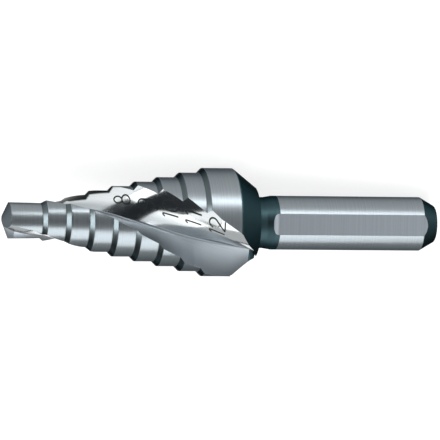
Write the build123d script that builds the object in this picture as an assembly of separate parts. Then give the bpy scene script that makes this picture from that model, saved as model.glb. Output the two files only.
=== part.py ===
from build123d import *
import math
import os

# A two-flute spiral step drill ground from one bar: a 135 degree point, nine steps that each
# widen the hole by one millimetre, a back cone, a short neck and a round shank with three flats.
# It is drawn with its axis along +X and the point at x = 0. Then it is laid down as it comes to
# rest on a table, point towards +X: on the rear rim of the shank, on the front corner of one
# cutting edge of the largest step, and on the heel of the flute below it.

# --- steps -----------------------------------------------------------------------------------
TIP_D = 4.0  # diameter of the first step
STEP_RISE = 1.0  # how much each step is wider than the one before
STEP_COUNT = 9
POINT_ANGLE = 135.0  # included angle of the drill point
POINT_RELIEF = 0.6  # each flank cone stands this far off the axis, which backs it off behind its lip
LIP_TURN = -60.0  # turn of the lips from the rake reference
FIRST_SHOULDER_X = 4.32  # where the first conical shoulder starts
STEP_PITCH = 2.53  # axial length of one step, shoulder included
SHOULDER_ANGLE = 45.0  # slope of the conical shoulders from the axis
LAST_STEP_L = 3.35  # cylindrical length of the largest step
RELIEF = 0.12  # how far the land falls back from the cutting edge to the heel
TIP_RELIEF = 0.04  # the same on the first step
TIP_TAPER = 0.12  # how much narrower the first step is at its rear than at the point
RELIEF_LEAD = 10.0  # degrees by which the relief starts ahead of the cutting edge

# --- back cone, neck and shank ---------------------------------------------------------------
BACK_SLOPE = 38.2  # slope of the back cone from the axis
BACK_END_D = 7.9  # diameter where the back cone ends in a square wall
NECK_D = 5.68
NECK_L = 1.0  # cylindrical length of the neck
NECK_FLARE_L = 0.9  # axial length of the flare from the neck up to the shank
SHANK_D = 6.0
LENGTH = 49.1  # overall length
END_CHAMFER_ANGLE = 30.0  # slope of the rear chamfer from the axis
END_FACE_D = 4.0  # diameter left on the rear end
END_ROUND = 0.35  # rounding between rear chamfer and end face

# --- three flats on the shank ----------------------------------------------------------------
FLAT_COUNT = 3
FLAT_DEPTH = 0.24  # how deep each flat is ground below the round
FLAT_START_X = 30.8  # where the flats reach their full depth
FLAT_RUNOUT_R = 1.3  # radius of the run-out at the front end of the flats
FLAT_PHASE = 4.0  # turn of the first flat from the side reference

# --- flutes ----------------------------------------------------------------------------------
FLUTE_COUNT = 2
FLUTE_LEAD = 54.8  # axial length of one full turn of the flutes
FLUTE_START_ANGLE = -63.8  # turn of the rake face at the point
RAKE_OFFSET = 1.2  # the rake faces stand this far ahead of the axis: half the web
RAKE_OFFSET_TIP = 1.4  # the same on the first step
RAKE_EVEN_X = 6.8  # axial place from which the offset is even
RAKE_LIFT_X = 21.3  # axial place from which the wheel starts to lift off
RAKE_LIFT_SLOPE = 0.1  # how fast it lifts
HEEL_OFFSET = 0.55  # the heel lies this far past the axis
HEEL_TILT = 37.0  # how far the flute back leans from the heel's radius
CORE_TIP = 0.3  # where the flute root sits along the rake face at the point
CORE_FULL = 2.05  # and from the middle steps on
CORE_FULL_X = 13.5  # axial place from which the root keeps its distance
ROOT_R = 0.35  # root radius of the flute
ROOT_R_TIP = 0.15
FLUTE_EXIT_X = 27.8  # where the flute starts to leave the body
FLUTE_EXIT_L = 0.9  # axial length over which it leaves
FLUTE_EXIT_LIFT = 1.3  # how far it has lifted at the end
MOUTH_REACH = 3.0  # how far the mouth of the flute is carried on past the heel
SECTION_PITCH = 1.5  # spacing of the flute's generating sections

# --- how it lies -----------------------------------------------------------------------------
REST_ROLL = -135.65  # turn about its own axis that brings an open flute down
REST_TILT = 5.53  # slope of the axis, the shank's end being the low one
FACET_ERROR = 0.01  # how finely the lowest point is looked for


def step_radius(i):
    """Radius of step i, the tip being step 0."""
    return (TIP_D + STEP_RISE * i) / 2


def shoulder_x(i):
    """Axial start of the shoulder in front of step i."""
    return FIRST_SHOULDER_X + STEP_PITCH * (i - 1)


def shoulder_length():
    """Axial length of one shoulder."""
    return STEP_RISE / 2 / math.tan(math.radians(SHOULDER_ANGLE))


def last_step_end():
    """Axial place where the largest step ends and the back cone begins."""
    return shoulder_x(STEP_COUNT - 1) + shoulder_length() + LAST_STEP_L


def helix_angle(x):
    """Turn of the flutes about the axis at the place x, in degrees."""
    return FLUTE_START_ANGLE + 360.0 * x / FLUTE_LEAD


def around(x, radius, degrees):
    """Point at a radius and a turn about the axis; a growing turn makes a right-hand screw."""
    a = math.radians(degrees)
    return Vector(x, -radius * math.cos(a), -radius * math.sin(a))


def turned(points):
    """Solid of revolution about the X axis from a closed half profile of (x, r) points."""
    outline = Polyline(*[(x, r, 0) for x, r in points], close=True)
    return revolve(make_face(outline), Axis.X, 360)


def relieved(points, x_mid, amount):
    """A turned blank ground back behind both cutting edges: two copies set off the axis and crossed."""
    blank = turned(points)
    x_turn = helix_angle(x_mid) - RELIEF_LEAD + 90.0
    shift = around(0, amount, x_turn)
    return (Pos(shift.X, shift.Y, shift.Z) * blank) & (Pos(-shift.X, -shift.Y, -shift.Z) * blank)


def tip_step():
    """The drill point with its two backed-off flanks, and the first, smallest step."""
    r1 = step_radius(0) + TIP_TAPER / 4 + TIP_RELIEF * math.sin(math.radians(RELIEF_LEAD))
    r2 = r1 - TIP_TAPER / 2
    end = shoulder_x(1) + shoulder_length()
    land = relieved([(0, 0), (0, r1), (end, r2), (end, 0)], end / 2, TIP_RELIEF)
    slope = math.tan(math.radians(POINT_ANGLE / 2))
    wide = 2 * r1
    flank = turned([(0, 0), (wide / slope, wide), (end + 1, wide), (end + 1, 0)])
    shift = around(0, POINT_RELIEF, helix_angle(0) + LIP_TURN + 90.0)
    back = POINT_RELIEF / slope
    for side in (1, -1):
        land = land & (Pos(-back, side * shift.Y, side * shift.Z) * flank)
    return land


def step(i):
    """One step with its conical shoulder in front."""
    extra = RELIEF * math.sin(math.radians(RELIEF_LEAD))
    r0 = step_radius(i - 1) + extra
    r1 = step_radius(i) + extra
    x0 = shoulder_x(i)
    x1 = x0 + shoulder_length()
    if i == STEP_COUNT - 1:
        x2 = last_step_end()
    else:
        x2 = shoulder_x(i + 1)
    core = r0 - RELIEF * 2
    body = relieved([(x0, 0), (x0, r0), (x1, r1), (x2, r1), (x2, 0)], (x1 + x2) / 2, RELIEF)
    tie = turned([(x0 - shoulder_length(), 0), (x0 - shoulder_length(), core), (x2, core), (x2, 0)])
    return body + tie


def back_end():
    """Back cone, neck, flare and shank as one turned piece."""
    r = step_radius(STEP_COUNT - 1)
    x0 = last_step_end()
    cone_l = (r - BACK_END_D / 2) / math.tan(math.radians(BACK_SLOPE))
    x1 = x0 + cone_l
    x2 = x1 + NECK_L
    x3 = x2 + NECK_FLARE_L
    slope = math.radians(END_CHAMFER_ANGLE)
    chamfer_l = (SHANK_D - END_FACE_D) / 2 / math.tan(slope)
    before = END_ROUND * math.tan((math.pi / 2 - slope) / 2)
    c_x = LENGTH - END_ROUND
    c_r = END_FACE_D / 2 - before
    mid = (math.pi / 2 - slope) / 2
    outline = [
        (LENGTH, 0),
        (x0 - STEP_PITCH, 0),
        (x0 - STEP_PITCH, r - RELIEF * 2),
        (x0, r - RELIEF * 2),
        (x0, r - RELIEF),
        (x0 + RELIEF / math.tan(math.radians(BACK_SLOPE)), r - RELIEF),
        (x1, BACK_END_D / 2),
        (x1, NECK_D / 2),
        (x2, NECK_D / 2),
        (x3, SHANK_D / 2),
        (LENGTH - chamfer_l, SHANK_D / 2),
    ]
    rim = ThreePointArc(
        (c_x + END_ROUND * math.sin(slope), c_r + END_ROUND * math.cos(slope)),
        (c_x + END_ROUND * math.cos(mid), c_r + END_ROUND * math.sin(mid)),
        (LENGTH, c_r),
    )
    chamfer = Spline(outline[-1], rim @ 0)
    lines = [Polyline(*outline), chamfer, rim, Line(rim @ 1, (LENGTH, 0))]
    return revolve(make_face(lines), Axis.X, 360)


def flat_slab():
    """Space above one flat, its front end rising on the radius of the grinding wheel."""
    low = SHANK_D / 2 - FLAT_DEPTH
    rise = FLAT_RUNOUT_R
    half = math.radians(45.0)
    x_mid = FLAT_START_X - rise * math.sin(half)
    z_mid = low + rise * (1 - math.cos(half))
    side = [
        ThreePointArc((FLAT_START_X, 0, low), (x_mid, 0, z_mid), (FLAT_START_X - rise, 0, low + rise)),
        Line((FLAT_START_X - rise, 0, low + rise), (LENGTH + 1, 0, low + rise)),
        Line((LENGTH + 1, 0, low + rise), (LENGTH + 1, 0, low)),
        Line((LENGTH + 1, 0, low), (FLAT_START_X, 0, low)),
    ]
    return extrude(make_face(side), amount=SHANK_D / 2, dir=(0, 1, 0), both=True)


def flats(body):
    """Grind the flats into the shank, evenly spread around it."""
    slab = flat_slab()
    for n in range(FLAT_COUNT):
        body = body - Rot(90.0 + FLAT_PHASE + 360.0 * n / FLAT_COUNT, 0, 0) * slab
    return body


def heel_radius(x):
    """Radius at which the flute back reaches the heel: it follows the steps as they widen."""
    mid = FIRST_SHOULDER_X + shoulder_length() / 2
    r = (step_radius(0) + step_radius(1)) / 2 + (x - mid) * STEP_RISE / 2 / STEP_PITCH
    return min(max(r, step_radius(0)), step_radius(STEP_COUNT - 1))


def rake_offset(x):
    """How far the rake face stands ahead of the axis at the place x."""
    if x < RAKE_EVEN_X:
        share = (RAKE_EVEN_X - x) / (RAKE_EVEN_X - FIRST_SHOULDER_X)
        return RAKE_OFFSET + (RAKE_OFFSET_TIP - RAKE_OFFSET) * min(share, 1.0)
    return RAKE_OFFSET + RAKE_LIFT_SLOPE * max(x - RAKE_LIFT_X, 0.0)


def flute_section(x):
    """Closed outline of one flute at the place x: rake face, root radius, domed back and mouth."""
    share = min(max(x / CORE_FULL_X, 0.0), 1.0)
    core = CORE_TIP + (CORE_FULL - CORE_TIP) * share
    root = ROOT_R_TIP + (ROOT_R - ROOT_R_TIP) * share
    r = heel_radius(x)
    rake = rake_offset(x)
    heel = Vector(-HEEL_OFFSET, -math.sqrt(r * r - HEEL_OFFSET**2))
    foot = Vector(core, -rake)
    lean = math.degrees(math.atan2(heel.Y, heel.X)) + HEEL_TILT
    normal = Vector(math.cos(math.radians(lean)), math.sin(math.radians(lean)))
    chord = foot - heel
    dome = -(chord.X**2 + chord.Y**2) / (2 * (chord.X * normal.X + chord.Y * normal.Y))
    centre = heel - normal * dome
    rise = -rake - root - centre.Y
    root_c = Vector(centre.X + math.sqrt((dome + root) ** 2 - rise**2), -rake - root)
    to_dome = (centre - root_c).normalized()
    on_dome = root_c + to_dome * root
    half = (to_dome + Vector(0, 1)).normalized()
    on_root = root_c + half * root
    on_rake = Vector(root_c.X, -rake)
    mid_dome = centre + ((heel - centre) + (on_dome - centre)).normalized() * dome
    along = Vector(normal.Y, -normal.X)
    out = heel + along * MOUTH_REACH
    reach = TIP_D + STEP_RISE * STEP_COUNT
    lift = 0.0
    if x > FLUTE_EXIT_X:
        lift = FLUTE_EXIT_LIFT * ((x - FLUTE_EXIT_X) / FLUTE_EXIT_L) ** 2
    away = Vector(1, -1).normalized() * lift
    flat = [heel, mid_dome, on_dome, on_root, on_rake, Vector(reach, -rake)]
    flat += [Vector(reach, -reach), out]
    turn = math.radians(helix_angle(x))
    c = math.cos(turn)
    s = math.sin(turn)
    placed = []
    for p in flat:
        u = p.X + away.X
        v = p.Y + away.Y
        radial = u * c - v * s
        down = u * s + v * c
        placed.append(Vector(x, -radial, -down))
    a, b, d, e, f, g, h, k = placed
    edges = [
        ThreePointArc(a, b, d),
        ThreePointArc(d, e, f),
        Line(f, g),
        Line(g, h),
        Line(h, k),
        Line(k, a),
    ]
    return Wire(edges)


def flute_tool():
    """The space of one flute, from ahead of the point to where it leaves the back cone."""
    start = -SECTION_PITCH
    end = FLUTE_EXIT_X
    count = math.ceil((end - start) / SECTION_PITCH)
    places = [start + (end - start) * n / count for n in range(count + 1)]
    places += [FLUTE_EXIT_X + FLUTE_EXIT_L / 2, FLUTE_EXIT_X + FLUTE_EXIT_L]
    wires = [flute_section(x) for x in places]
    return Solid.make_loft(wires, ruled=False)


def drill():
    """The whole drill as one solid."""
    body = tip_step()
    for i in range(1, STEP_COUNT):
        body = body + step(i)
    body = body + back_end()
    body = flats(body)
    tool = flute_tool()
    for n in range(FLUTE_COUNT):
        body = body - Rot(360.0 * n / FLUTE_COUNT, 0, 0) * tool
    return body


def laid_down(body):
    """The drill as it comes to rest, its lowest points on z = 0, centred over the origin."""
    lying = Rot(0, 0, 180) * (Rot(0, REST_TILT, 0) * (Rot(REST_ROLL, 0, 0) * body))
    points = lying.tessellate(FACET_ERROR)[0]
    low = [min(p.X for p in points), min(p.Y for p in points), min(p.Z for p in points)]
    high = [max(p.X for p in points), max(p.Y for p in points)]
    return Pos(-(low[0] + high[0]) / 2, -(low[1] + high[1]) / 2, -low[2]) * lying


os.makedirs("parts", exist_ok=True)
body = drill()
solid = body.solids().sort_by(SortBy.VOLUME)[-1]
lying = laid_down(solid)
export_step(lying, "parts/step_drill.step")
print("solids", len(body.solids()), "volume", solid.volume, lying.bounding_box())
print("lies shifted by", lying.location.position)
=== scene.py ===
import math

import bpy
import numpy as np
from mathutils import Matrix, Vector


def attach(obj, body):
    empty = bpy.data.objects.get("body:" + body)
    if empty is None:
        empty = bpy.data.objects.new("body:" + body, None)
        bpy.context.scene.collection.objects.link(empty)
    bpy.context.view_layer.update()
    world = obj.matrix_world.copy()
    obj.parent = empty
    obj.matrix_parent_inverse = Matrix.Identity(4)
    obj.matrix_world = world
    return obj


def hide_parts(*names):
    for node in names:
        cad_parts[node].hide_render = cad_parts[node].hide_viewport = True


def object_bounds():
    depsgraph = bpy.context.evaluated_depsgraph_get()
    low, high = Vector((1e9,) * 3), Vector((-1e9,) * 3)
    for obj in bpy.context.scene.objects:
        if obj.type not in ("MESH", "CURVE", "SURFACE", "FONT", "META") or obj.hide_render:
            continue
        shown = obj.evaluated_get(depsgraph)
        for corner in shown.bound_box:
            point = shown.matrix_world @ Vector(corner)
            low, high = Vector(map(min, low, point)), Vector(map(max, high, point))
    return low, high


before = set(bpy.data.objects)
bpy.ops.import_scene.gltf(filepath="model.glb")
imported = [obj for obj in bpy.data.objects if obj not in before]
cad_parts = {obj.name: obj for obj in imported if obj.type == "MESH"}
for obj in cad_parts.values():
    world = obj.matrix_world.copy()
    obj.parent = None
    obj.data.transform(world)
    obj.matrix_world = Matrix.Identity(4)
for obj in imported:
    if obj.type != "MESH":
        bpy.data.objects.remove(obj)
cad_low, cad_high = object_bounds()

# The step drill's skin and its numerals, as it lies on white paper. Lengths are millimetres in the
# drill's own frame until laid_down() turns them to metres in the shared frame: the axis is +X, the
# apex of the point is at x = 0, and a turn of 0 degrees about the axis faces the camera's side. The
# turning frame of the flutes is that frame, turned at each x by base_turn(x), so that in it the
# flutes run straight.

# --- steps
TIP_R = 2.0
STEP_RISE = 0.5
STEP_COUNT = 9
FIRST_SHOULDER = 4.32
STEP_PITCH = 2.53
SHOULDER = 0.5
FOOT_ROUND = 0.16  # radius left by the wheel's corner at the foot of each shoulder
TOP_ROUND = 0.1  # radius of the stoned corner above it
LAND_END = 25.88
RELIEF = 0.12  # how far the land falls back from the cutting edge
TIP_RELIEF = 0.04
TIP_TAPER = 0.06
RELIEF_LEAD = math.radians(10.0)
POINT_SLOPE = math.tan(math.radians(67.5))
POINT_RELIEF = 0.6
POINT_END = 1.3
LIP_TURN = math.radians(-60.0)
SHOULDER_STARTS = FIRST_SHOULDER + STEP_PITCH * np.arange(STEP_COUNT - 1)

# --- back cone, neck, shank
CONE_SLOPE = math.tan(math.radians(38.2))
WALL_X = 28.485
WALL_R = 3.95
NECK_R = 2.84
NECK_END = 29.485
FLARE_END = 30.385
SHANK_R = 3.0
CHAMFER_X = 47.368
CHAMFER_ANGLE = math.radians(30.0)
LENGTH = 49.1
END_R = 2.0
END_ROUND = 0.35
FLAT_COUNT = 3
FLAT_H = 2.76
FLAT_START = 30.8
FLAT_RUNOUT = 1.3  # radius of the grinding wheel's edge, where the flats run out
FLAT_TURN = math.radians(4.0)
EDGE = 1e-4  # two outline points this far apart make a square corner
ROUND_POINTS = 4  # points of each arc of the outline
END_POINTS = 7

# --- flutes
LEAD = 54.8
START_TURN = math.radians(-63.8)
HEEL_OFFSET = 0.55
HEEL_TILT = math.radians(37.0)
CORE_FULL_X = 13.5
CORE_TIP = 0.3
CORE_FULL = 2.05
ROOT_TIP = 0.15
ROOT_FULL = 0.35
RAKE = 1.2  # distance of the rake face from the axis
RAKE_TIP = 1.4
RAKE_EVEN_X = 6.8
THIN_RAKE = 0.5  # what is left of it at the apex, where the web is thinned
THIN_END = 1.3
RAKE_LIFT_X = 21.3
RAKE_LIFT_SLOPE = 0.1
FLUTE_EXIT = 27.8
FLUTE_EXIT_L = 0.9
FLUTE_EXIT_LIFT = 1.3
GRAZE = 0.02  # least cosine at which a straight wall of the flute is still met
FAR = 99.0  # stands for a wall that isn't met

# --- how it lies
REST_ROLL = math.radians(-135.65)
REST_TILT = math.radians(5.53)
REST_SHIFT = np.array([24.5199, 0.0, 7.5406])

# --- where the black oxide was left on: from the back cone to the shank, and the rear end
BRIGHT_FROM = 30.9
BRIGHT_TO = 47.4
BLACKENED = [(LAND_END, BRIGHT_FROM), (BRIGHT_TO, LENGTH + 1.0)]

# --- grid columns: half a turn is a flute (dome, root, rake face) and a land
DOME_COLS = 34
ROOT_COLS = 8
RAKE_COLS = 26
LAND_COLS = 64
HEEL_SHARE = 0.2  # share of the dome's columns that close up to the heel
HEEL_EVEN = (2.5, 26.6)  # between these, the others ignore the heel's steps; fades in over 1 mm
HEEL_SEARCH = -0.9  # radians past the heel within which the flute's back meets the land
EDGE_SEARCH = -0.03  # turn, in radians, before which the rake face meets the land
HALVINGS = 26
FLUTE_COLS = DOME_COLS + ROOT_COLS + RAKE_COLS
HALF_COLS = FLUTE_COLS + LAND_COLS
COLS = 2 * HALF_COLS
FLAT_COLS = 40
ROUND_COLS = COLS // FLAT_COUNT - FLAT_COLS
NARROW_FLAT = math.radians(0.8)  # half the turn that a flat's columns keep where no flat is

# --- grid rows: how many, or how far apart in mm, on each stretch of the axis
POINT_ROWS = 36
ROW_STEP = 0.2
SHOULDER_ROWS = 3
NECK_ROWS = 10
BLEND_ROWS = 28
SHANK_ROWS = 14
END_ROWS = 16
NECK_ROWS_FROM = WALL_X + 0.1
END_ROWS_TO = LENGTH - 0.2
BLEND_START = WALL_X + 0.05  # from here the columns swing from the flutes to the flats
BLEND_END = 30.0
FLATS_FROM = 29.9
EQUAL = 1e-6  # radii nearer than this count as equal
SHARP_ANGLE = math.radians(22.0)  # a fold past this stays sharp

# --- numerals, marked on the domed back of the flute beside the step that they name: place along
# the axis, turn in the turning frame, and lean
NUMERAL_H = 1.7
NUMERAL_ADVANCE = 0.92
NUMERAL_STROKE = 0.15
NUMERAL_STATION = 0.08  # about how far apart the stations of a stroke lie
NUMERAL_STAND = 0.008
NUMERAL_SINK = 0.03
DIGIT_CENTRE = (0.3, 0.5)
NUMERALS = {
    "8": (13.15, math.radians(-74.9), math.radians(5.0)),
    "9": (15.7, math.radians(-74.0), math.radians(6.0)),
    "10": (18.3, math.radians(-74.8), math.radians(4.0)),
    "11": (20.75, math.radians(-77.2), math.radians(7.0)),
    "12": (23.3, math.radians(-80.5), math.radians(10.0)),
}

# --- polish of the domed back, and the painted shade that darkens it towards the root, as shares
# of its width from the heel: full polish and no shade before the first, no polish and full shade
# past the second
POLISH_AND_SHADE_END = (0.35, 0.8)

# --- painted shade by the heels of the small steps, a dark strip that stands in for a dark
# reflection: where it starts, is widest and ends, its greatest width, the width of its soft edge,
# and the least width that shows
HEEL_PAINTED_SHADE = (4.9, 7.6, 13.0)
HEEL_PAINTED_SHADE_W = 1.4
HEEL_PAINTED_SHADE_SOFT = 0.2
HEEL_PAINTED_SHADE_LEAST = 0.02

# --- grinding lines per mm. Real ones lie about 0.02 mm apart, too fine to show, so they are drawn
# as coarse as they need to show. The noise that shades them stays mostly between the two levels.
LAND_LINES = 7.0
DOME_LINES = 5.0
FACE_LINES = 6.0
FLAT_LINES = 4.0
LINE_LEVELS = (0.3, 0.7)

# What ground steel mirrors at a grazing angle: grey, because its fine lines scatter the light.
DULL_EDGE = "#5A5F62"

# --- camera: turn of the view from the drill's side towards the point, roll, pixels per mm at the
# axis, where the apex lies in the frame, distance in mm, the frame's side in pixels, the sensor's
# width in mm, and the nearest and farthest that it sees, in metres
YAW = math.radians(12.5)
ROLL = math.radians(0.5)
PX_PER_MM = 9.09
APEX_PX = (1.2, 220.3)
DISTANCE = 620.0
SIDE = 440
SENSOR = 36.0
CLIP_NEAR, CLIP_FAR = 0.01, 20.0

# --- floor: half its width in metres, and the light that the paper adds to what the lens sees
FLOOR_REACH = 1.5
PAPER_GLOW = 0.76

# --- soft boxes parallel to the drill: turn about the axis from and to, in degrees, place along it
# from and to, in mm, distance in metres, and radiance. The upper ones hang over the drill, the
# near ones stand low on the lens's side, and the far one fills in from behind.
SIDE_BOXES = {
    "upper soft box": (39.0, 90.0, 30.0, 160.0, 0.4, 4.7),
    "upper middle soft box": (24.0, 97.0, -175.0, 30.0, 0.4, 1.8),
    "upper point soft box": (57.0, 100.0, -600.0, -175.0, 0.4, 1.3),
    "near soft box": (-52.0, -36.0, 12.0, 110.0, 0.05, 7.0),
    "near point soft box": (-47.0, -20.0, -130.0, -25.0, 0.1, 2.2),
    "far soft box": (97.0, 132.0, -400.0, 400.0, 0.6, 0.55),
}

# --- single soft boxes: direction that they lie in, direction of their long side, distance, length
# and width in metres, and radiance. The first shows in the shoulders, the second in the flats.
SINGLE_BOXES = {
    "point strip": ((-0.976, -0.216, 0.0), (0, 0, 1), 0.3, 0.22, 0.05, 13.0),
    "shank soft box": ((0.682, -0.715, -0.152), (0, 0.208, -0.978), 0.4, 0.95, 0.32, 2.2),
}
BOX_AIM = 12.0  # place along the axis that the single boxes face

# --- soft box beyond the point: its angle off the axis, its turn about it and its spread, in
# degrees, distance in metres, and radiance
POINT_BOX = (18.0, 30.0, 42.0, 0.35, 2.0)

STUDIO_COLOUR = "#A9B6C6"
STUDIO_LEVEL = 0.05


def base_turn(x):
    """Turn of the flutes at x: a straight line in x, one full turn per lead."""
    return START_TURN + 2 * math.pi * x / LEAD


def step_middle(x):
    """Middle of the step that each x belongs to: halfway from the end of its shoulder to the next
    shoulder, or to the end of the lands. The apex counts as the start of the first shoulder."""
    ends = np.append(SHOULDER_STARTS[1:], LAND_END)
    first = (FIRST_SHOULDER + SHOULDER) / 2
    middles = np.append(first, (SHOULDER_STARTS + SHOULDER + ends) / 2)
    return middles[np.searchsorted(SHOULDER_STARTS, x, side="left")]


def offset_circle(c, s, turn):
    """Radius towards a turn of what two circles of radius c, set off by +s and -s, have in common:
    the root of c squared less (s sine) squared, less s times the size of the cosine."""
    return np.sqrt(np.maximum(c**2 - (s * np.sin(turn)) ** 2, 0)) - s * np.abs(np.cos(turn))


def turned_profile():
    """Outline (x, r) of the blank without relief: first step, steps, cone, neck, shank, end. Each
    shoulder rises at 45 degrees between an eighth of a circle at its foot and one at its corner,
    and the rear chamfer runs into the end face by an arc."""
    lead = RELIEF * math.sin(RELIEF_LEAD)
    tip = TIP_R + TIP_RELIEF * math.sin(RELIEF_LEAD)
    pts = [(0.0, tip + TIP_TAPER / 2), (FIRST_SHOULDER, tip - TIP_TAPER / 2)]
    up = np.linspace(0, math.pi / 4, ROUND_POINTS)
    down = up[::-1]
    foot, corner = FOOT_ROUND * math.tan(math.pi / 8), TOP_ROUND * math.tan(math.pi / 8)
    for i, start in enumerate(SHOULDER_STARTS):
        r = TIP_R + STEP_RISE * (i + 1) + lead
        low_x = start - foot + FOOT_ROUND * np.sin(up)
        high_x = start + SHOULDER + corner - TOP_ROUND * np.sin(down)
        pts += zip(low_x, r - STEP_RISE + FOOT_ROUND * (1 - np.cos(up)))
        pts += zip(high_x, r - TOP_ROUND * (1 - np.cos(down)))
    top = TIP_R + STEP_RISE * (STEP_COUNT - 1)
    pts += [(LAND_END, top + lead), (LAND_END + EDGE, top - RELIEF)]
    pts += [(LAND_END + RELIEF / CONE_SLOPE, top - RELIEF)]
    pts += [(WALL_X, WALL_R), (WALL_X + EDGE, NECK_R), (NECK_END, NECK_R), (FLARE_END, SHANK_R)]
    pts += [(CHAMFER_X, SHANK_R)]
    cx = LENGTH - END_ROUND
    cr = END_R - END_ROUND * math.tan(CHAMFER_ANGLE)
    a = np.linspace(math.pi / 2 - CHAMFER_ANGLE, 0.0, END_POINTS)
    pts += zip(cx + END_ROUND * np.cos(a), cr + END_ROUND * np.sin(a))
    return np.array(pts)


PROFILE = turned_profile()


def body_radius(x, phi):
    """Radius of the unfluted body at x towards the turn phi of the turning frame: what two copies
    of the turned outline, set off either way, have in common, and no more than what two flank
    cones, set off either way across the lips, have in common."""
    c = np.interp(x, PROFILE[:, 0], PROFILE[:, 1])
    s = np.where(x <= FIRST_SHOULDER, TIP_RELIEF, np.where(x <= LAND_END, RELIEF, 0.0))
    theta = phi + base_turn(x)
    land = offset_circle(c, s, theta - base_turn(step_middle(x)) + RELIEF_LEAD - math.pi / 2)
    lip = theta - START_TURN - LIP_TURN - math.pi / 2
    flank = offset_circle(x * POINT_SLOPE + POINT_RELIEF, POINT_RELIEF, lip)
    return np.minimum(land, flank)


def flute_shape(x):
    """Sizes and places of one flute in the turning frame at each x. The rake face is the straight
    line at its distance below the axis. The heel is a point on the cone through the middles of the
    shoulders. The dome is the circle through the heel, and through the point of the rake line at
    the core's distance to the side, whose normal at the heel leans from the radius. The root circle
    touches the rake line and the dome. At the exit all of it lifts outwards by a parabola."""
    share = np.clip(x / CORE_FULL_X, 0, 1)
    core = CORE_TIP + (CORE_FULL - CORE_TIP) * share
    root = ROOT_TIP + (ROOT_FULL - ROOT_TIP) * share
    r = TIP_R + STEP_RISE / 2 + (x - FIRST_SHOULDER - SHOULDER / 2) * STEP_RISE / STEP_PITCH
    r = np.clip(r, TIP_R, TIP_R + STEP_RISE * (STEP_COUNT - 1))
    early = np.clip((RAKE_EVEN_X - x) / (RAKE_EVEN_X - FIRST_SHOULDER), 0, 1)
    rake = RAKE + (RAKE_TIP - RAKE) * early + RAKE_LIFT_SLOPE * np.maximum(x - RAKE_LIFT_X, 0)
    rake = rake - (RAKE_TIP - THIN_RAKE) * np.clip(1 - x / THIN_END, 0, 1)
    hx, hy = -HEEL_OFFSET + 0 * x, -np.sqrt(r**2 - HEEL_OFFSET**2)
    lean = np.arctan2(hy, hx) + HEEL_TILT
    nx, ny = np.cos(lean), np.sin(lean)
    cx, cy = core - hx, -rake - hy
    dome = -(cx**2 + cy**2) / (2 * (cx * nx + cy * ny))
    dx, dy = hx - nx * dome, hy - ny * dome
    ry = -rake - root
    rx = dx + np.sqrt((dome + root) ** 2 - (ry - dy) ** 2)
    lift = FLUTE_EXIT_LIFT * (np.maximum(x - FLUTE_EXIT, 0) / FLUTE_EXIT_L) ** 2 / math.sqrt(2)
    join = np.hypot(dx - rx, dy - ry)
    ax, ay = rx + (dx - rx) / join * root, ry + (dy - ry) / join * root
    return {
        "rake": rake + lift, "root": root, "dome": dome, "n": (nx, ny),
        "heel": (hx + lift, hy - lift), "dome_c": (dx + lift, dy - lift),
        "root_c": (rx + lift, ry - lift),
        "phi_heel": np.arctan2(hy - lift, hx + lift),
        "phi_dome": np.arctan2(ay - lift, ax + lift),
        "phi_rake": np.arctan2(-rake - lift, rx + lift),
    }


def flute_radius(shape, phi):
    """Distance from the axis to the flute's wall towards phi: the tangent past the heel, the domed
    back (far side of its circle), the root (near side of its circle), and the flat rake face."""
    u, v = np.cos(phi), np.sin(phi)
    nx, ny = shape["n"]
    hx, hy = shape["heel"]
    facing = u * nx + v * ny
    past = np.where(facing > GRAZE, (hx * nx + hy * ny) / np.maximum(facing, GRAZE), FAR)
    dx, dy = shape["dome_c"]
    b = u * dx + v * dy
    dome = b + np.sqrt(np.maximum(b**2 - dx**2 - dy**2 + shape["dome"] ** 2, 0))
    rx, ry = shape["root_c"]
    b = u * rx + v * ry
    root = b - np.sqrt(np.maximum(b**2 - rx**2 - ry**2 + shape["root"] ** 2, 0))
    rake = np.where(v < -GRAZE, shape["rake"] / np.maximum(-v, GRAZE), FAR)
    out = np.where(phi < shape["phi_heel"], past, dome)
    out = np.where(phi > shape["phi_dome"], root, out)
    return np.where(phi > shape["phi_rake"], rake, out)


def crossing(x, shape, start, end):
    """Turn at which the flute's wall meets the body between start (in the flute) and end (outside),
    found by halving; start itself where the flute doesn't reach the body."""
    def inside(phi):
        return flute_radius(shape, phi) < body_radius(x, phi)
    biting = inside(start)
    a, b = start.copy(), end.copy()
    for _ in range(HALVINGS):
        mid = (a + b) / 2
        keep = inside(mid)
        a = np.where(keep, mid, a)
        b = np.where(keep, b, mid)
    return np.where(biting, (a + b) / 2, start)


def row_places():
    """Places of the grid's rows along the axis: even, closer at the point and over the run-out of
    the flats, and one at every corner of the outline and every edge of the black oxide."""
    rows = [np.linspace(0.0, POINT_END, POINT_ROWS), np.arange(POINT_END, WALL_X, ROW_STEP)]
    rows += [start + np.linspace(0, SHOULDER, SHOULDER_ROWS) for start in SHOULDER_STARTS]
    rows.append(np.linspace(NECK_ROWS_FROM, BLEND_END, NECK_ROWS))
    rows.append(np.linspace(BLEND_END, FLAT_START, BLEND_ROWS))
    rows.append(np.linspace(FLAT_START, CHAMFER_X, SHANK_ROWS))
    rows.append(np.linspace(CHAMFER_X, END_ROWS_TO, END_ROWS))
    rows += [PROFILE[:, 0], np.array([BRIGHT_FROM, BRIGHT_TO])]
    x = np.unique(np.round(np.concatenate(rows), 5))
    return x[(x >= 0) & (x <= LENGTH)]


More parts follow.
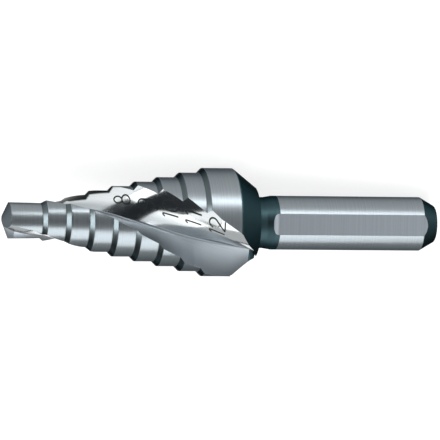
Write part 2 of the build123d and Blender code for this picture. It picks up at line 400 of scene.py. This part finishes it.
def flute_columns(x):
    """Turns of the columns at each row, in the turning frame, and the flute's shape. Each stretch
    (dome, root, rake face, land) is divided evenly between its ends. Between the two places of
    HEEL_EVEN the dome is divided from the smooth line through the heels, and only its first columns
    close up to the stepped edge."""
    shape = flute_shape(x)
    lowest = shape["phi_dome"] * 0.5 + shape["phi_rake"] * 0.5
    heel = crossing(x, shape, lowest, shape["phi_heel"] + HEEL_SEARCH)
    edge = crossing(x, shape, lowest, np.full_like(x, EDGE_SEARCH))
    dome = np.clip(shape["phi_dome"], heel, edge)
    rake = np.clip(shape["phi_rake"], heel, edge)
    def run(a, b, n):
        t = np.arange(n) / n
        return a[:, None] + (b - a)[:, None] * t[None, :]
    t = np.arange(DOME_COLS)[None, :] / DOME_COLS
    full = np.clip(x - HEEL_EVEN[0], 0, 1) * np.clip(HEEL_EVEN[1] - x, 0, 1)
    even = heel + (shape["phi_heel"] - heel) * full
    back = even[:, None] * (1 - t) + dome[:, None] * t
    back = back + (heel - even)[:, None] * np.clip(1 - t / HEEL_SHARE, 0, 1)
    half = np.hstack([
        back, run(dome, rake, ROOT_COLS), run(rake, edge, RAKE_COLS),
        run(edge, heel + math.pi, LAND_COLS),
    ])
    return np.hstack([half, half + math.pi]), shape


def flat_height(x):
    """Height of the ground flats over the axis: level, rising on the wheel's arc at the front."""
    back = np.clip(FLAT_START - x, 0, FLAT_RUNOUT)
    return FLAT_H + FLAT_RUNOUT - np.sqrt(FLAT_RUNOUT**2 - back**2)


def shank_columns(x, r):
    """Turns of the columns on the shank: each flat reaches to the turn whose cosine is its height
    over the radius, and the rounds between them are divided evenly."""
    h = flat_height(x)
    half = np.maximum(np.arccos(np.clip(h / r, -1, 1)), NARROW_FLAT)
    first = FLAT_TURN + half
    third = 2 * math.pi / FLAT_COUNT
    gap = third - 2 * half
    parts = []
    for k in range(FLAT_COUNT):
        a = first + k * third
        parts.append(a[:, None] + gap[:, None] * (np.arange(ROUND_COLS) / ROUND_COLS)[None, :])
        b = a + gap
        parts.append(b[:, None] + 2 * half[:, None] * (np.arange(FLAT_COLS) / FLAT_COLS)[None, :])
    return np.hstack(parts)


def drill_grid():
    """The whole surface as rows along the axis and columns round it: x, radius, turn, and whether
    it lies on a flat. The radius is the least of the body, the flute's wall and the flat, whose
    distance towards a turn is its height over the cosine."""
    x = row_places()
    phi, shape = flute_columns(x)
    xx = np.repeat(x[:, None], COLS, 1)
    wide = {}
    for key, value in shape.items():
        pair = isinstance(value, tuple)
        wide[key] = tuple(a[:, None] for a in value) if pair else value[:, None]
    body = body_radius(xx, phi)
    fold = np.where(phi > 0.0, phi - math.pi, phi)
    fold = np.where(fold > 0.0, fold - math.pi, fold)
    fluted = np.minimum(body, flute_radius(wide, fold))
    r = np.where(xx < WALL_X + EDGE / 2, fluted, body)
    theta = phi + base_turn(xx)
    on_shank = shank_columns(x, np.interp(x, PROFILE[:, 0], PROFILE[:, 1]))
    blend = np.clip((xx - BLEND_START) / (BLEND_END - BLEND_START), 0, 1)
    theta = np.where(xx > BLEND_START, theta + (on_shank - theta) * blend, theta)
    third = 2 * math.pi / FLAT_COUNT
    off = (theta - FLAT_TURN + third / 2) % third - third / 2
    flat = flat_height(xx) / np.cos(off)
    on_flat = (xx > FLATS_FROM) & (flat < r + EQUAL)
    return xx, np.where(on_flat, flat, r), theta, on_flat


def laid_down(p):
    """Points in the drill's frame (mm) to the shared frame (m): rolled about the axis, tilted until
    the rear end is down, turned half round and set on the floor."""
    turn = Matrix.Rotation(REST_TILT, 3, "Y") @ Matrix.Rotation(REST_ROLL, 3, "X")
    turn = Matrix.Rotation(math.pi, 3, "Z") @ turn
    return (p @ np.array(turn).T + REST_SHIFT) * 1e-3


def on_axis(x, r, theta):
    """Cylinder coordinates to points: turn 0 is -Y and a quarter turn is -Z."""
    return np.stack([x, -r * np.cos(theta), -r * np.sin(theta)], -1)


def add_mesh(name, points, faces):
    """A mesh object at the origin from points of the drill's frame, kept inside the CAD box."""
    mesh = bpy.data.meshes.new(name)
    placed = np.clip(laid_down(points), cad_low, cad_high)
    mesh.from_pydata(placed.tolist(), [], faces)
    obj = bpy.data.objects.new(name, mesh)
    bpy.context.scene.collection.objects.link(obj)
    return obj


# The finishes, in the order of the drill's material slots.
LAND, DOME, FACE, OXIDE, STEP_CONE, FLAT, FLANK = range(7)


def finish_of_faces(mid_x, on_flat):
    """Which finish each quad has, from its place along the axis, its column and the flats: the
    flute is bright as far as its exit, and lifts out through black oxide."""
    col = (np.arange(COLS) % HALF_COLS)[None, :]
    ahead = mid_x < FLUTE_EXIT
    black = np.zeros_like(mid_x, bool)
    for a, b in BLACKENED:
        black |= (mid_x > a) & (mid_x < b)
    cone = np.zeros_like(mid_x, bool)
    for start in SHOULDER_STARTS:
        cone |= (mid_x > start) & (mid_x < start + SHOULDER)
    out = np.full(mid_x.shape, LAND)
    out = np.where(cone, STEP_CONE, out)
    out = np.where(mid_x * POINT_SLOPE < TIP_R, FLANK, out)
    out = np.where(black, OXIDE, out)
    out = np.where(ahead & (col < DOME_COLS), DOME, out)
    out = np.where(ahead & (col >= DOME_COLS) & (col < FLUTE_COLS), FACE, out)
    return np.where(on_flat, FLAT, out)


def polish_and_shade_of_columns(x):
    """How polished the flute is, from 0 to 1, at each row and column; where it is low the colour is
    also darkened by painted shade: on its back it fades by a smooth step towards the root, where it
    is 0, and on the rake face from the root to the rim."""
    col = np.arange(COLS) % HALF_COLS
    t = (col / DOME_COLS - POLISH_AND_SHADE_END[0]) / (POLISH_AND_SHADE_END[1] - POLISH_AND_SHADE_END[0])
    face = (col - DOME_COLS - ROOT_COLS) / RAKE_COLS
    t = np.clip(np.where(face >= 0, face, t), 0, 1)
    return np.repeat((1 - t * t * (3 - 2 * t))[None, :], len(x), 0)


def painted_heel_shade_of_columns(x, across):
    """How dark the painted shade by the heel is, from 0 to 1: a dark strip, a painted dark
    reflection, with a soft edge that widens evenly on the small steps, from the first place given
    for it to the second, and narrows evenly to the third."""
    grow = np.clip((x - HEEL_PAINTED_SHADE[0]) / (HEEL_PAINTED_SHADE[1] - HEEL_PAINTED_SHADE[0]), 0, 1)
    fade = np.clip((HEEL_PAINTED_SHADE[2] - x) / (HEEL_PAINTED_SHADE[2] - HEEL_PAINTED_SHADE[1]), 0, 1)
    wide = HEEL_PAINTED_SHADE_W * np.minimum(grow, fade)[:, None]
    return np.clip((wide - across) / HEEL_PAINTED_SHADE_SOFT + 0.5, 0, 1) * (wide > HEEL_PAINTED_SHADE_LEAST)


def build_drill():
    """The drill's skin: the grid's quads, a fan at the point and a fan on the rear end. Its vertex
    attributes hold the place along the axis and the distance round from each heel, in mm, the
    polish of the flutes, which also sets the painted shade of the root, and the painted dark
    reflection by the heels. The row at the apex has no width, so it is left out."""
    xx, r, theta, on_flat = drill_grid()
    pts = on_axis(xx[1:], r[1:], theta[1:])
    across = np.linalg.norm(np.diff(pts, axis=1, prepend=pts[:, :1]), axis=-1).cumsum(1)
    across[:, HALF_COLS:] -= across[:, HALF_COLS:HALF_COLS + 1]
    pts = np.vstack([pts.reshape(-1, 3), [[0, 0, 0], [LENGTH, 0, 0]]])
    n = xx.shape[0] - 1
    i = np.arange(n - 1)[:, None] * COLS
    j = np.arange(COLS)[None, :]
    k = (j + 1) % COLS
    quads = np.stack([i + j, i + k, i + COLS + k, i + COLS + j], -1).reshape(-1, 4)
    tip, end, last = n * COLS, n * COLS + 1, (n - 1) * COLS
    tip_fan = np.stack([np.full(COLS, tip), k[0], j[0]], -1)
    end_fan = np.stack([np.full(COLS, end), last + j[0], last + k[0]], -1)
    faces = quads.tolist() + tip_fan.tolist() + end_fan.tolist()
    drill = add_mesh("step_drill_ground", pts, faces)
    mesh = drill.data
    mid_x = (xx[1:-1] + xx[2:]) / 2
    corners = on_flat[1:-1] & on_flat[2:]
    corners &= np.roll(on_flat, -1, 1)[1:-1] & np.roll(on_flat, -1, 1)[2:]
    index = finish_of_faces(mid_x, corners).reshape(-1)
    index = np.concatenate([index, np.full(COLS, FLANK), np.full(COLS, OXIDE)])
    mesh.polygons.foreach_set("material_index", index.astype(np.int32))
    mesh.polygons.foreach_set("use_smooth", np.ones(len(faces), bool))
    # The polish also darkens the root as painted shade; dark is a painted dark reflection by the
    # heels.
    polish_and_shade = polish_and_shade_of_columns(xx[1:, 0])
    dark = painted_heel_shade_of_columns(xx[1:, 0], across)
    for name, values in (("along", xx[1:]), ("across", across), ("polish_and_shade", polish_and_shade), ("dark", dark)):
        layer = mesh.attributes.new(name, "FLOAT", "POINT")
        flat = np.append(values.reshape(-1), [0.0, LENGTH])
        layer.data.foreach_set("value", flat.astype(np.float32))
    mesh.set_sharp_from_angle(angle=SHARP_ANGLE)
    mesh.validate()
    return drill


def arc(cx, cy, rx, ry, start, end, count=14):
    """Part of an ellipse as points, from one angle to another in degrees."""
    a = np.radians(np.linspace(start, end, count))
    return np.stack([cx + rx * np.cos(a), cy + ry * np.sin(a)], -1)


def digit_strokes(digit):
    """Strokes of one digit as the marking head draws them, in a box 0.6 wide and 1 high."""
    if digit == "0":
        return [arc(0.3, 0.5, 0.27, 0.5, 0, 360, 24)]
    if digit == "1":
        flag = np.array([(0.18, 0.86), (0.27, 0.98), (0.36, 1.0)])
        return [flag, np.array([(0.36, 1.0), (0.36, 0.0)])]
    if digit == "2":
        return [np.vstack([arc(0.3, 0.72, 0.27, 0.28, 170, -38), [(0.03, 0.0)]]),
                np.array([(0.03, 0.0), (0.6, 0.0)])]
    if digit == "8":
        return [arc(0.3, 0.745, 0.22, 0.25, 0, 360, 20), arc(0.3, 0.25, 0.27, 0.25, 0, 360, 20)]
    tail = np.vstack([[(0.57, 0.72)], arc(0.2, 0.4, 0.36, 0.4, 10, -80)])
    return [arc(0.3, 0.72, 0.27, 0.28, 0, 360, 20), tail]


def on_dome(x, phi, stand):
    """Points on the domed back of the flute at (x, turn in the turning frame), stand above it."""
    r = flute_radius(flute_shape(x), phi) + stand
    return on_axis(x, r, phi + base_turn(x))


def stroke_bar(line, x_mid, phi_mid, lean, shift):
    """A low closed bar along a stroke: four corners per station, two sunk and two standing proud.
    The digit's foot points along the axis, and it reads towards the heel, leaning a little."""
    steps = []
    for a, b in zip(line[:-1], line[1:]):
        count = max(int(np.linalg.norm(b - a) * NUMERAL_H / NUMERAL_STATION), 1)
        steps.append(a + (b - a) * (np.arange(count) / count)[:, None])
    path = np.vstack(steps + [line[-1:]])
    tangent = np.gradient(path, axis=0)
    tangent /= np.linalg.norm(tangent, axis=1)[:, None]
    side = np.stack([-tangent[:, 1], tangent[:, 0]], -1) * NUMERAL_STROKE / 2
    centre = (path - DIGIT_CENTRE) * NUMERAL_H
    centre[:, 0] += shift
    c, s = math.cos(lean), math.sin(lean)
    radius = flute_radius(flute_shape(np.array([x_mid])), np.array([phi_mid]))[0]
    rings = []
    low, high = -NUMERAL_SINK, NUMERAL_STAND
    for sign, stand in ((-1, low), (1, low), (1, high), (-1, high)):
        read, rise = (centre + sign * side).T
        x = x_mid - rise * c - read * s
        phi = phi_mid - (read * c - rise * s) / radius
        rings.append(on_dome(x, phi, stand))
    ring = np.stack(rings, 1)
    n = len(ring)
    i = np.arange(n - 1)[:, None] * 4
    j = np.arange(4)[None, :]
    quads = np.stack([i + j, i + (j + 1) % 4, i + 4 + (j + 1) % 4, i + 4 + j], -1).reshape(-1, 4)
    ends = [[3, 2, 1, 0], [4 * n - 4, 4 * n - 3, 4 * n - 2, 4 * n - 1]]
    return ring.reshape(-1, 3), np.vstack([quads, ends])


def build_numerals():
    """All numerals as one piece, each label centred on its place."""
    points, faces, count = [], [], 0
    for label, (x_mid, phi_mid, lean) in NUMERALS.items():
        for n, digit in enumerate(label):
            shift = (n - (len(label) - 1) / 2) * NUMERAL_ADVANCE
            for line in digit_strokes(digit):
                p, f = stroke_bar(line, x_mid, phi_mid, lean, shift)
                points.append(p)
                faces.append(f + count)
                count += len(p)
    return add_mesh("step_numerals", np.vstack(points), np.vstack(faces).tolist())


def linear(hex_colour):
    """sRGB hex to linear RGBA, by the curve that sRGB is defined with."""
    c = [int(hex_colour[i:i + 2], 16) / 255 for i in (1, 3, 5)]
    return [v / 12.92 if v <= 0.04045 else ((v + 0.055) / 1.055) ** 2.4 for v in c] + [1.0]


def node(tree, kind, settings=None, links=None):
    """Adds a node, sets its sockets and properties, and links its inputs. A key is a property's
    name, or a socket's name or number."""
    n = tree.nodes.new(kind)
    for key, value in (settings or {}).items():
        if isinstance(key, str) and hasattr(n, key) and key not in n.inputs:
            setattr(n, key, value)
        else:
            n.inputs[key].default_value = value
    for key, source in (links or {}).items():
        tree.links.new(source, n.inputs[key])
    return n


def new_material(name, settings):
    """A material with one Principled shader; returns the material, its tree and the shader."""
    mat = bpy.data.materials.new(name)
    mat.use_nodes = True
    tree = mat.node_tree
    tree.nodes.clear()
    shader = node(tree, "ShaderNodeBsdfPrincipled", settings)
    node(tree, "ShaderNodeOutputMaterial", links={"Surface": shader.outputs[0]})
    return mat, tree, shader


# Sockets of a Mix node: its two colours, and its two numbers.
COLOUR_A, COLOUR_B = 6, 7
VALUE_A, VALUE_B = 2, 3


def grinding_lines(tree, shader, attribute, per_mm, light, dark, rough, bump):
    """Fine parallel lines, a noise of one attribute in mm: they shade the colour between two
    values, vary the roughness between two values and, where bump in mm isn't 0, tilt the surface
    a little."""
    place = node(tree, "ShaderNodeAttribute", {"attribute_name": attribute})
    noise = {"noise_dimensions": "1D", "Scale": per_mm, "Detail": 2.0, "Roughness": 0.6}
    lines = node(tree, "ShaderNodeTexNoise", noise, {"W": place.outputs["Fac"]})
    low, high = LINE_LEVELS
    level = {"From Min": low, "From Max": high}
    shade = node(tree, "ShaderNodeMapRange", level, {"Value": lines.outputs["Fac"]})
    colours = {"data_type": "RGBA", COLOUR_A: linear(dark), COLOUR_B: linear(light)}
    tint = node(tree, "ShaderNodeMix", colours, {0: shade.outputs[0]})
    tree.links.new(tint.outputs[2], shader.inputs["Base Color"])
    span = dict(level, **{"To Min": rough[0], "To Max": rough[1]})
    matt = node(tree, "ShaderNodeMapRange", span, {"Value": lines.outputs["Fac"]})
    tree.links.new(matt.outputs[0], shader.inputs["Roughness"])
    if bump == 0:
        return
    relief = node(tree, "ShaderNodeBump", {"Strength": 1.0, "Distance": bump * 1e-3},
                  {"Height": lines.outputs["Fac"]})
    tree.links.new(relief.outputs[0], shader.inputs["Normal"])


def ground_land():
    """High speed steel, cylindrically ground: lines round the axis, a satin grey that turns darker
    at a grazing angle."""
    mat, tree, shader = new_material("cylindrically ground steel", {
        "Metallic": 0.9, "Specular Tint": linear(DULL_EDGE)})
    grinding_lines(tree, shader, "along", LAND_LINES, "#7E8589", "#767D81", (0.28, 0.33), 0.00012)
    return mat


def fluted_dome():
    """Flute back, ground with a fine wheel and polished: nearly a mirror, faint lines along it.
    Towards the root it turns rougher, and painted shade greys its colour there; by the heels of the
    small steps a painted dark reflection lies on it."""
    mat, tree, shader = new_material("polished flute steel", {"Metallic": 1.0})
    grinding_lines(tree, shader, "across", DOME_LINES, "#D6DBDC", "#CED3D4", (0.11, 0.14), 0.0)
    # the root's grey is painted shade in the crease, and the near-black is the painted dark
    # reflection by the heels
    root_shade_grey, root_roughness, painted_shade_black = "#A2A8AB", 0.18, "#101718"
    polish_and_shade = node(tree, "ShaderNodeAttribute", {"attribute_name": "polish_and_shade"})
    dark = node(tree, "ShaderNodeAttribute", {"attribute_name": "dark"})
    bright = shader.inputs["Base Color"].links[0].from_socket
    tint = node(tree, "ShaderNodeMix", {"data_type": "RGBA", COLOUR_A: linear(root_shade_grey)},
                {0: polish_and_shade.outputs["Fac"], COLOUR_B: bright})
    heel_shade_mix = node(tree, "ShaderNodeMix", {"data_type": "RGBA", COLOUR_B: linear(painted_shade_black)},
                 {0: dark.outputs["Fac"], COLOUR_A: tint.outputs[2]})
    tree.links.new(heel_shade_mix.outputs[2], shader.inputs["Base Color"])
    fine = shader.inputs["Roughness"].links[0].from_socket
    matt = node(tree, "ShaderNodeMix", {"data_type": "FLOAT", VALUE_A: root_roughness},
                {0: polish_and_shade.outputs["Fac"], VALUE_B: fine})
    tree.links.new(matt.outputs[0], shader.inputs["Roughness"])
    return mat


def fluted_face():
    """Rake face and root, ground along the flute: satin grey with long faint lines. The root is
    darker by painted shade in the crease, and the face grows darker towards the rim."""
    mat, tree, shader = new_material("long-ground rake face", {"Metallic": 0.9})
    grinding_lines(tree, shader, "across", FACE_LINES, "#8F959A", "#868D92", (0.34, 0.4), 0.00015)
    # the root's colour is painted shade in the crease; the rim takes the same darker grey
    root_shade_and_rim_grey = "#61686D"
    polish_and_shade = node(tree, "ShaderNodeAttribute", {"attribute_name": "polish_and_shade"})
    bright = shader.inputs["Base Color"].links[0].from_socket
    tint = node(tree, "ShaderNodeMix", {"data_type": "RGBA", COLOUR_A: linear(root_shade_and_rim_grey)},
                {0: polish_and_shade.outputs["Fac"], COLOUR_B: bright})
    tree.links.new(tint.outputs[2], shader.inputs["Base Color"])
    return mat


def step_cone():
    """Shoulders, plunge ground with the corner of the wheel: darker, with a tight glint."""
    mat, tree, shader = new_material("plunge-ground shoulder", {
        "Metallic": 1.0, "Specular Tint": linear(DULL_EDGE)})
    grinding_lines(tree, shader, "along", LAND_LINES, "#545C5F", "#4D5558", (0.27, 0.31), 0.0001)
    return mat


def shank_flat():
    """Flats, surface ground across the shank after the blackening: an even light grey."""
    mat, tree, shader = new_material("surface-ground flat", {"Metallic": 0.85})
    grinding_lines(tree, shader, "along", FLAT_LINES, "#878E94", "#80878D", (0.4, 0.46), 0.00015)
    return mat


def black_oxide():
    """Black oxide on turned steel: blue-black with a dull sheen."""
    mat, _, _ = new_material("black oxide", {
        "Metallic": 1.0, "Base Color": linear("#2C3D41"), "Roughness": 0.42,
        "Specular Tint": linear("#565F62")})
    return mat


def point_flank():
    """Flanks of the point, face ground: a dull satin grey."""
    mat, _, _ = new_material("face-ground point", {
        "Metallic": 0.9, "Base Color": linear("#5C6367"), "Roughness": 0.36,
        "Specular Tint": linear(DULL_EDGE)})
    return mat


def burnt_mark():
    """Numerals burnt in by a marking laser: matt near-black."""
    mat, _, _ = new_material("laser-burnt numerals", {
        "Base Color": linear("#15191A"), "Roughness": 0.7, "Specular IOR Level": 0.15})
    return mat


def direction(v):
    """A direction in the drill's frame, turned to the shared frame."""
    return (laid_down(np.array([v], float)) - laid_down(np.zeros((1, 3))))[0] * 1e3


def add_camera():
    """The camera looks square at the drill's side, turned by YAW towards the point and rolled by
    ROLL, and stands so that the apex falls on its place in the frame."""
    level = direction((math.cos(YAW), -math.sin(YAW), 0))
    plumb = direction((0, 0, 1))
    right = level * math.cos(ROLL) + plumb * math.sin(ROLL)
    up = plumb * math.cos(ROLL) - level * math.sin(ROLL)
    back = np.cross(right, up)
    across = (SIDE / 2 - APEX_PX[0]) / PX_PER_MM
    rise = (APEX_PX[1] - SIDE / 2) / PX_PER_MM
    place = laid_down(np.zeros((1, 3)))[0] + (right * across + up * rise + back * DISTANCE) * 1e-3
    data = bpy.data.cameras.new("camera")
    data.sensor_width = SENSOR
    data.lens = SENSOR * DISTANCE / (SIDE / PX_PER_MM)
    data.clip_start = CLIP_NEAR
    data.clip_end = CLIP_FAR
    camera = bpy.data.objects.new("camera", data)
    turn = Matrix([right, up, back]).transposed()
    camera.matrix_world = Matrix.Translation(Vector(place)) @ turn.to_4x4()
    bpy.context.scene.collection.objects.link(camera)
    bpy.context.scene.camera = camera


def add_floor():
    """Paper under the drill. To the lens, and to what mirrors it, it adds its own light, so that it
    stays white and keeps a soft shadow."""
    mesh = bpy.data.meshes.new("floor")
    a = FLOOR_REACH
    corners = [(-a, -a, 0), (a, -a, 0), (a, a, 0), (-a, a, 0)]
    mesh.from_pydata(corners, [], [(0, 1, 2, 3)])
    floor = bpy.data.objects.new("floor", mesh)
    bpy.context.scene.collection.objects.link(floor)
    paper, tree, shader = new_material("white paper", {
        "Base Color": linear("#949494"), "Roughness": 0.9, "Emission Color": linear("#FFFFFF")})
    path = node(tree, "ShaderNodeLightPath")
    direct = node(tree, "ShaderNodeMath", {"operation": "MAXIMUM"},
                  {0: path.outputs["Is Camera Ray"], 1: path.outputs["Is Glossy Ray"]})
    shown = node(tree, "ShaderNodeMath", {"operation": "MAXIMUM"},
                 {0: direct.outputs[0], 1: path.outputs["Is Transmission Ray"]})
    level = node(tree, "ShaderNodeMath", {"operation": "MULTIPLY", 1: PAPER_GLOW},
                 {0: shown.outputs[0]})
    tree.links.new(level.outputs[0], shader.inputs["Emission Strength"])
    mesh.materials.append(paper)


def soft_box(name, toward, along, centre_x, distance, length, width, radiance):
    """A rectangular light that faces a place on the drill's axis from a direction of the drill's
    frame, its long side as near to the other direction as it can be. Its power is pi times its
    radiance times its area."""
    data = bpy.data.lights.new(name, "AREA")
    data.shape = "RECTANGLE"
    data.size = length
    data.size_y = width
    data.energy = radiance * math.pi * length * width
    z = Vector(direction(toward)).normalized()
    y = z.cross(Vector(direction(along))).normalized()
    x = y.cross(z)
    centre = laid_down(np.array([[centre_x, 0, 0]]))[0]
    place = Vector(centre) + z * distance
    obj = bpy.data.objects.new(name, data)
    obj.matrix_world = Matrix.Translation(place) @ Matrix((x, y, z)).transposed().to_4x4()
    obj.visible_camera = False
    bpy.context.scene.collection.objects.link(obj)


def side_light(name, low, high, start, end, distance, radiance):
    """A soft box parallel to the drill, from one turn about its axis to another, in degrees, and
    from one place along it to another, in mm."""
    mid = math.radians((low + high) / 2)
    half = math.radians((high - low) / 2)
    toward = (0, -math.cos(mid), -math.sin(mid))
    width = 2 * distance * math.tan(half)
    length = (end - start) * 1e-3
    soft_box(name, toward, (1, 0, 0), (start + end) / 2, distance, length, width, radiance)


def point_light(name, off, turn, spread, distance, radiance):
    """A square soft box beyond the point: off is its angle from the axis and turn its side."""
    a, t, half = math.radians(off), math.radians(turn), math.radians(spread / 2)
    toward = (-math.cos(a), -math.sin(a) * math.cos(t), -math.sin(a) * math.sin(t))
    size = 2 * distance * math.tan(half)
    soft_box(name, toward, (0, math.sin(t), -math.cos(t)), BOX_AIM, distance, size, size, radiance)


def add_studio():
    """The soft boxes, and a weak even light from all round."""
    for name, box in SIDE_BOXES.items():
        side_light(name, *box)
    point_light("point soft box", *POINT_BOX)
    for name, (toward, along, *box) in SINGLE_BOXES.items():
        soft_box(name, toward, along, BOX_AIM, *box)
    world = bpy.data.worlds.new("studio")
    world.use_nodes = True
    background = world.node_tree.nodes["Background"]
    background.inputs["Color"].default_value = linear(STUDIO_COLOUR)
    background.inputs["Strength"].default_value = STUDIO_LEVEL
    bpy.context.scene.world = world


drill = build_drill()
for make in (ground_land, fluted_dome, fluted_face, black_oxide, step_cone, shank_flat, point_flank):
    drill.data.materials.append(make())
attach(drill, "root")
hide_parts("step_drill")

numerals = build_numerals()
numerals.data.materials.append(burnt_mark())
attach(numerals, "root")

add_camera()
add_floor()
add_studio()

bpy.context.scene.view_settings.view_transform = "Standard"
